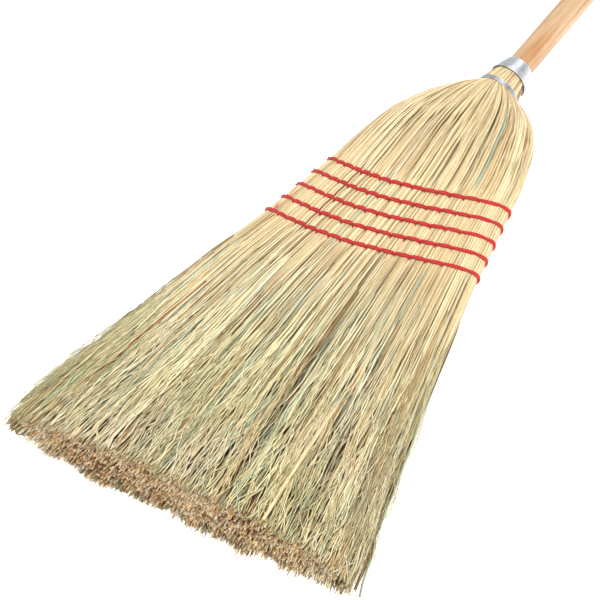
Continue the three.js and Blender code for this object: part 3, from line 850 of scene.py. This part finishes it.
def buildStitches(row, rowY, rng):
    # at every stitch a short loop comes down over the band and dives into the straw under it
    blank = stalkBlank(stitchLook["sides"], stitchLook["rings"])
    share = np.linspace(0, 1, stitchLook["rings"])
    width = profileAt("width", rowY)
    faces = np.repeat([1, -1], len(stitchShares))
    across = np.tile(stitchShares, 2)[:, None] + rng.normal(0, 0.004, (len(faces), 1))
    shifted = across + (share - 0.3) * stitchLook["slant"] * 2 / width
    angle = faces[:, None] * np.arccos(np.sign(shifted) * np.abs(shifted) ** (1 / headShape["roundness"]))
    y = rowY + stitchLook["above"] - share * (stitchLook["above"] + stitchLook["below"]) + 0 * angle
    over = np.clip(1 - np.abs(share - stitchLook["peak"]) / (1 - stitchLook["peak"]), 0, 1) ** 0.7
    reach = bandLook["lift"] + bandLook["over"] + stitchLook["clear"]
    lift = over * (reach + stitchLook["dive"]) - stitchLook["dive"]
    centre = headPoint(y, angle, -lift - 0.6 * pinch(y, shifted, width) * over)
    half = np.full(centre.shape[:2], stitchLook["radius"])
    piece = sweepStalks(f"row_{row}_stitches", blank, centre, outwardAt(y, angle), half,
                        half * stitchLook["flat"], twineFinish, {})
    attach(piece, "head")
    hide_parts(f"row_{row}_sewing_twine")


rng = np.random.default_rng(5)
for row, rowY in enumerate(headShape["rows"], start=1):
    buildBand(row, rowY)
    buildStitches(row, rowY, rng)

looseLook = {
    # row, how far round, length, how far it stands off, how it leans along the broom
    "threads": [(2, 2.93, 26, 15, 15), (2, 2.88, 20, 9, -9), (3, 2.80, 15, 4, -8), (4, 2.62, 18, 5, 13),
                (4, 2.74, 15, 6, 9), (5, 2.60, 19, 6, 12), (5, 2.48, 15, 5, 10), (5, 2.80, 13, 4, 9)],
    "rings": 22, "sides": 5, "radius": 0.42,
}


def looseThreads(look, material):
    # frayed ends left where the sewing machine starts each row
    share = np.linspace(0, 1, look["rings"])
    paths, outward = [], []
    for number, (row, angle, length, stand, lean) in enumerate(look["threads"]):
        y = headShape["rows"][row - 1] + lean * share + 2.4 * np.sin(share * 7 + number) * share
        side = length * share + 1.6 * np.sin(share * 9 + number * 2) * share
        turned = angle + side * (-1) ** number * 0.5 / arcRate(y, angle)
        lift = 1.2 + stand * np.sin(share * 2.2) * share
        paths.append(headPoint(y, turned, -lift, pinched=False))
        outward.append(outwardAt(y, turned))
    half = np.tile(look["radius"] * (1.25 - share), (len(paths), 1))
    piece = sweepStalks("loose_threads", stalkBlank(look["sides"], look["rings"]), np.array(paths),
                        np.array(outward), half, half, material, {})
    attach(piece, "head")


looseThreads(looseLook, threadFinish)
print("stage 6: the head is sewn")

windingLook = {
    "collar": {"low": 493.4, "high": 512.2, "lowRadius": 17.7, "highRadius": 12.8, "turns": 9, "wire": 0.94,
               "flat": 0.95},
    "neck": {"low": 473.8, "high": 478.6, "lowRadius": 19.9, "highRadius": 19.9, "turns": 3, "wire": 0.68,
             "flat": 1.0},
    "steps": 48, "sides": 8, "begin": 3.6, "tuck": 1.2,
}


def buildWinding(name, look, node):
    # one wire wound side by side, with both of its ends tucked under
    rings = look["turns"] * windingLook["steps"] + 1
    blank = stalkBlank(windingLook["sides"], rings, look["turns"])
    share = np.linspace(0, 1, rings)
    turn = share * look["turns"] * 2 * math.pi + windingLook["begin"]
    tucked = 1 - np.clip(np.minimum(share, 1 - share) * look["turns"] * 8, 0, 1)
    radius = look["lowRadius"] + (look["highRadius"] - look["lowRadius"]) * share \
        - tucked * windingLook["tuck"]
    y = look["low"] + (look["high"] - look["low"]) * share
    centre = np.stack([radius * np.cos(turn), y, radius * np.sin(turn)], axis=-1)[None]
    outward = np.stack([np.cos(turn), 0 * turn, np.sin(turn)], axis=-1)[None]
    half = np.full((1, rings), look["wire"])
    piece = sweepStalks(name, blank, centre, outward, half, half * look["flat"], windingFinish, {})
    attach(piece, "head")
    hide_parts(node)


buildWinding("collar_wire", windingLook["collar"], "collar_winding")
buildWinding("neck_wire", windingLook["neck"], "neck_winding")

handleLook = {"radius": 11.9, "sides": 64, "low": 380, "dome": 9, "crown": 5, "domeSteps": 6}


def buildHandle(look):
    # a dowel turned from a cylinder: its low end hidden in the head, its top rounded over
    deselectAll()
    top = broomLength * 1000 - look["dome"]
    length = top - look["low"]
    centre = home + Vector((0, (look["low"] + top) / 2000, 0))
    bpy.ops.mesh.primitive_cylinder_add(vertices=look["sides"], radius=look["radius"] / 1000,
                                        depth=length / 1000, location=centre, rotation=(math.pi / 2, 0, 0))
    dowel = bpy.context.object
    dowel.name = "turned_handle"
    bpy.ops.object.transform_apply(location=True, rotation=True, scale=True)
    for item in (*dowel.data.vertices, *dowel.data.edges, *dowel.data.polygons):
        item.select = False
    for face in dowel.data.polygons:
        face.select = face.normal.y > 0.9
    bpy.ops.object.mode_set(mode="EDIT")
    bpy.ops.mesh.select_mode(type="FACE")
    before, beforeY = 1.0, 0.0
    for step in range(1, look["domeSteps"] + 1):
        turn = step / look["domeSteps"] * math.pi / 2
        size = (look["crown"] + (look["radius"] - look["crown"]) * math.cos(turn)) / look["radius"]
        rise = look["dome"] * math.sin(turn)
        bpy.ops.mesh.extrude_region_move(TRANSFORM_OT_translate={"value": (0, (rise - beforeY) / 1000, 0)})
        bpy.ops.transform.resize(value=(size / before, 1, size / before),
                                 center_override=home + Vector((0, (top + rise) / 1000, 0)))
        before, beforeY = size, rise
    bpy.ops.mesh.select_all(action="SELECT")
    bpy.ops.mesh.normals_make_consistent(inside=False)
    bpy.ops.object.mode_set(mode="OBJECT")
    bpy.ops.object.shade_smooth_by_angle(angle=math.radians(35))
    dowel.data.materials.append(woodFinish)
    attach(dowel, "head")
    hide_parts("handle")


buildHandle(handleLook)
for node in ("wire_end_tack", "inner_winding"):
    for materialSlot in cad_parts[node].material_slots:
        materialSlot.material = wireFinish
print("stage 7: wire and handle are in")

stageLook = {
    "floorSize": 30.0, "floorWhite": 0.92, "floorGlow": 0.8, "world": 0.56, "boxSize": 0.9,
    "key": 78.0, "keyPlace": (0.9, -0.5, 2.4), "fill": 8.0, "fillPlace": (-1.8, 0.4, 1.5),
}
deselectAll()
bpy.ops.mesh.primitive_plane_add(size=stageLook["floorSize"])
floor = bpy.context.object
floor.name = "studio_floor"
floorShop = Workshop("studio_white", roughness=1.0)
floorShop.shader.inputs["Base Color"].default_value = [stageLook["floorWhite"]] * 3 + [1.0]
floorShop.shader.inputs["Specular IOR Level"].default_value = 0.0
floorShop.shader.inputs["Emission Color"].default_value = (1, 1, 1, 1)
floorShop.shader.inputs["Emission Strength"].default_value = stageLook["floorGlow"]
floor.data.materials.append(floorShop.material)

world = bpy.data.worlds.new("studio")
world.use_nodes = True
world.node_tree.nodes["Background"].inputs["Color"].default_value = (1, 1, 1, 1)
world.node_tree.nodes["Background"].inputs["Strength"].default_value = stageLook["world"]
bpy.context.scene.world = world
bpy.context.scene.view_settings.view_transform = "Standard"


def softbox(name, place, power, size, aim):
    light = bpy.data.lights.new(name, "AREA")
    light.energy, light.size = power, size
    lamp = bpy.data.objects.new(name, light)
    lamp.location = aim + Vector(place)
    lamp.rotation_mode = "QUATERNION"
    lamp.rotation_quaternion = (aim - lamp.location).to_track_quat("-Z", "Y")
    bpy.context.scene.collection.objects.link(lamp)


headMiddle = home + Vector((0, 0.25, 0))
for name in ("key", "fill"):
    softbox(f"{name}_light", stageLook[f"{name}Place"], stageLook[name], stageLook["boxSize"], headMiddle)

cameraLook = {"eye": (0.8811, -0.4343, 0.9736), "aim": (-0.0155, 0.2049, 0.0), "roll": 23.7, "lens": 108.2,
              "sensor": 36, "near": 0.05, "far": 50}
camera = bpy.data.cameras.new("camera")
camera.sensor_width, camera.lens = cameraLook["sensor"], cameraLook["lens"]
camera.clip_start, camera.clip_end = cameraLook["near"], cameraLook["far"]
cameraObject = bpy.data.objects.new("camera", camera)
bpy.context.scene.collection.objects.link(cameraObject)
eye, aim = (home + Vector(cameraLook[key]) for key in ("eye", "aim"))
cameraObject.rotation_mode = "QUATERNION"
cameraObject.location = eye
roll = Quaternion((0, 0, 1), math.radians(-cameraLook["roll"]))
cameraObject.rotation_quaternion = (aim - eye).to_track_quat("-Z", "Y") @ roll
bpy.context.scene.camera = cameraObject
print("stage 8: floor, light and camera are set")
